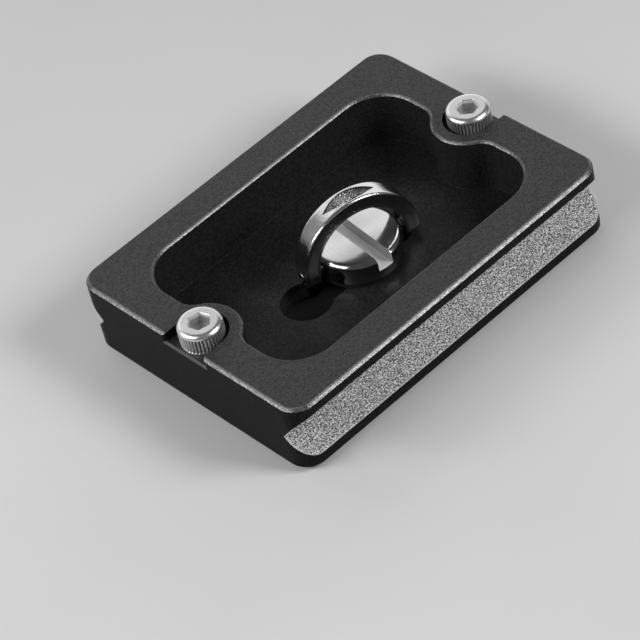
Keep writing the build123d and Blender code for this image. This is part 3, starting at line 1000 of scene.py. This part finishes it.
# %% Ring: shape
def finger_ring():
    """The section carried along the arch, hung on the pivot axis.

    Kinds: 0 the band, 1 the grip's floor, 2 the grip's walls, 3 the inside of the band.
    """
    angle, drop, half = ring_path()
    radius, sideways = ring_section(angle, half)
    along = radius * np.sin(angle)
    up = RING_RISE + radius * np.cos(angle) - drop
    rows = np.stack([along, sideways, up], axis=-1)
    foot = (RING_INNER + RING_OUTER) / 2
    ends = [(-foot, 0, -HALF_BAND), (foot, 0, -HALF_BAND)]
    column = np.arange(rows.shape[1])
    lens_end = MARGIN_COLUMNS + LENS_COLUMNS - 1
    floor_column = (column >= MARGIN_COLUMNS) & (column < lens_end)
    wall_column = (column == MARGIN_COLUMNS - 1) | (column == lens_end)
    lens_row = np.abs(angle[:-1]) < GRIP_HALF_SPAN
    inner_column = np.isclose(radius[0], RING_INNER)
    kinds = np.select([lens_row & floor_column, lens_row & wall_column, inner_column], [1, 2, 3], 0)
    return skin("finger_ring", pivot_place(rows), *pivot_place(ends), kinds)


ring = finger_ring()

# %% [markdown]
# The band is chromed, bright with shallow pits, and darker inside as painted shade. The grip is darkened as
# painted shade, in loose specks: it could follow the pyramids' height, but its tone follows a grain.


# %% Finish: chrome and grip
def grip_steel_painted_shade():
    """Pyramids of the grip: their sides are rough, and their tone is darkened in loose specks, as painted
    shade.
    """
    material, tree, shader, coordinates = finish("grip_steel_painted_shade", Metallic=1.0)
    texture = grain(tree, coordinates, grain_mm=0.3, cloud_mm=2.5)
    feed(tree, shader,
         Base_Color=tint(tree, texture["Fine"], 0.02, 0.42),
         Roughness=between(tree, texture["Slow"], 0.32, 0.45))
    return material


# The grip, its walls and the inside of the band are darker copies of the steel: painted shade.
wear(
    ring,
    bright_steel("ring_chrome", tone=0.82, roughness=(0.1, 0.2), grain_mm=0.25, depth=0.8),
    grip_steel_painted_shade(),
    bright_steel("grip_wall_painted_shade", tone=0.06, roughness=(0.3, 0.4)),
    bright_steel("ring_inside_painted_shade", tone=0.3, roughness=(0.3, 0.4)))
ring_cutters = [
    rod("hole_cutter", HOLE_RADIUS, side * (RING_INNER - CUT_BEYOND), side * (RING_OUTER + CUT_BEYOND))
    for side in (-1, 1)]
carve(ring, ring_cutters, milled_wall_painted_shade)
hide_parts("d_ring")
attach(ring, "ring")

# %% [markdown]
# Two short pins carry the ring. Their outer ends are dimpled, as if riveted over. A cylinder with an inset
# end would nearly do, but the stations of the cap screws give the rim and the dimple in one profile.

# %% Pivot pins
PIN_REACH = 8.12
PIN_RIM = 0.2
PIN_TIP_SHARE = 0.8
PIN_TIP_LENGTH = 0.1
DIMPLE_RADIUS = 0.42
DIMPLE_DEPTH = 0.22
DIMPLE_SHARES = (1.0, 0.5)


def pivot_pin(side, sign):
    """Turned pin along the pivot axis: round shank, rounded rim, and a parabola hollowed into its end."""
    angle = full_turn(PIN_STEPS) * sign
    start = head_radius - PIN_SEAT
    profile = [(PIN_RADIUS * PIN_TIP_SHARE, start), (PIN_RADIUS, start + PIN_TIP_LENGTH)]
    profile += [(PIN_RADIUS, PIN_REACH - PIN_RIM)]
    profile += quarter_round(PIN_RADIUS, PIN_REACH, PIN_RIM)
    profile += [
        (DIMPLE_RADIUS * share, PIN_REACH - DIMPLE_DEPTH * (1 - share ** 2)) for share in DIMPLE_SHARES]
    turned = stack(angle, profile)
    rows = np.stack([sign * turned[..., 2], turned[..., 0], turned[..., 1]], axis=-1)
    ends = [(sign * start, 0, 0), (sign * (PIN_REACH - DIMPLE_DEPTH), 0, 0)]
    return skin(f"pivot_pin_{side}_dimpled", pivot_place(rows), *pivot_place(ends))


# The pins' steel is darkened to paint the shade in the gap between head and ring.
pin_steel_painted_shade = bright_steel("pin_steel_painted_shade", tone=0.22, roughness=(0.2, 0.3))
for side, sign in (("left", -1), ("right", 1)):
    pin = pivot_pin(side, sign)
    wear(pin, pin_steel_painted_shade)
    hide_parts(f"pivot_pin_{side}")
    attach(pin, "screw")

# %% [markdown]
# A thin black washer lets the screw head turn and slide on the pocket floor. Its solid is right as it is, so
# no new surface is made, and it only gets a waxy nylon finish.


# %% Washer
def black_nylon():
    """Waxy moulded nylon with a soft cloudy gloss."""
    material, tree, shader, coordinates = finish("black_nylon", Specular_IOR_Level=0.4)
    texture = grain(tree, coordinates, grain_mm=0.25, cloud_mm=2.0)
    feed(tree, shader,
         Base_Color=tint(tree, texture["Slow"], 0.012, 0.02),
         Roughness=between(tree, texture["Slow"], 0.42, 0.55))
    return material


wear(nodes["slide_washer"], black_nylon())
print("slide_washer wears", nodes["slide_washer"].data.materials[0].name)

# %% [markdown]
# Two ribbed rubber strips on the plate's underside keep it from turning on what it is screwed to. They could
# be boxes with an array of ribs, but each is one closed surface too: every row is a loop round the strip at
# one distance across it, so ribs along the strip are a ripple from row to row.

# %% Grip strips
RIB_PITCH = 1.0
RIB_DEPTH = 0.22
STRIP_CORNER = 1.5
STRIP_EDGE = 0.2
CORNER_ROWS = 9
STRIP_ROWS = 97
LOOP_STEPS = 25


def grip_strip(name, node):
    """Loops across the strip: half length shrinks at the round corners, and ribs ripple the underside."""
    low, high = (np.array(corner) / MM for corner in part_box(node))
    middle, half = (low + high) / 2, (high - low) / 2
    straight_half = half[1] - STRIP_CORNER
    slope = np.linspace(0, np.pi / 2, CORNER_ROWS)
    edge = straight_half + STRIP_CORNER * np.cos(slope)
    straight = np.linspace(-straight_half, straight_half, STRIP_ROWS)[1:-1]
    across = np.concatenate([-edge, straight, edge[::-1]])
    beyond = np.clip(np.abs(across) - straight_half, 0, STRIP_CORNER)
    reach = half[0] - STRIP_CORNER + np.sqrt(STRIP_CORNER ** 2 - beyond ** 2)
    wave = 0.5 + 0.5 * np.cos(2 * np.pi * across / RIB_PITCH)
    side = np.clip((half[1] - np.abs(across)) / STRIP_EDGE, 0.0, 1.0)
    under = low[2] + STRIP_EDGE * (1 - side) + RIB_DEPTH * (1 - wave) * side
    reach, under, across = reach[:, None], under[:, None], across[:, None]
    sweep = np.linspace(-1, 1, LOOP_STEPS)
    foot_x = (reach - STRIP_EDGE) * sweep
    wall = np.maximum(under, low[2] + STRIP_EDGE)
    x = np.hstack([foot_x, reach, reach, reach * sweep[::-1][1:-1], -reach, -reach])
    z = np.hstack([under + 0 * foot_x, wall, high[2] + 0 * wall, high[2] + 0 * reach * sweep[1:-1],
                   high[2] + 0 * wall, wall])
    rows = np.stack([x, across + 0 * x, z], axis=-1) + (middle[0], middle[1], 0)
    level = (under[0, 0] + high[2]) / 2
    ends = [(middle[0], low[1], level), (middle[0], high[1], level)]
    return skin(name, rows, *ends)


def black_rubber():
    """Matt rubber with a dusty, slightly paler grain."""
    material, tree, shader, coordinates = finish("black_rubber", Specular_IOR_Level=0.25)
    texture = grain(tree, coordinates, grain_mm=0.3, cloud_mm=6.0)
    feed(tree, shader,
         Base_Color=tint(tree, texture["Slow"], 0.015, 0.028),
         Roughness=between(tree, texture["Fine"], 0.6, 0.8),
         Normal=bump(tree, texture["Height"], strength=0.2, depth_mm=0.03))
    return material


rubber = black_rubber()
for side in ("near", "far"):
    strip = grip_strip(f"grip_strip_{side}", f"grip_pad_{side}")
    wear(strip, rubber)
    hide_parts(f"grip_pad_{side}")
    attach(strip, "plate")
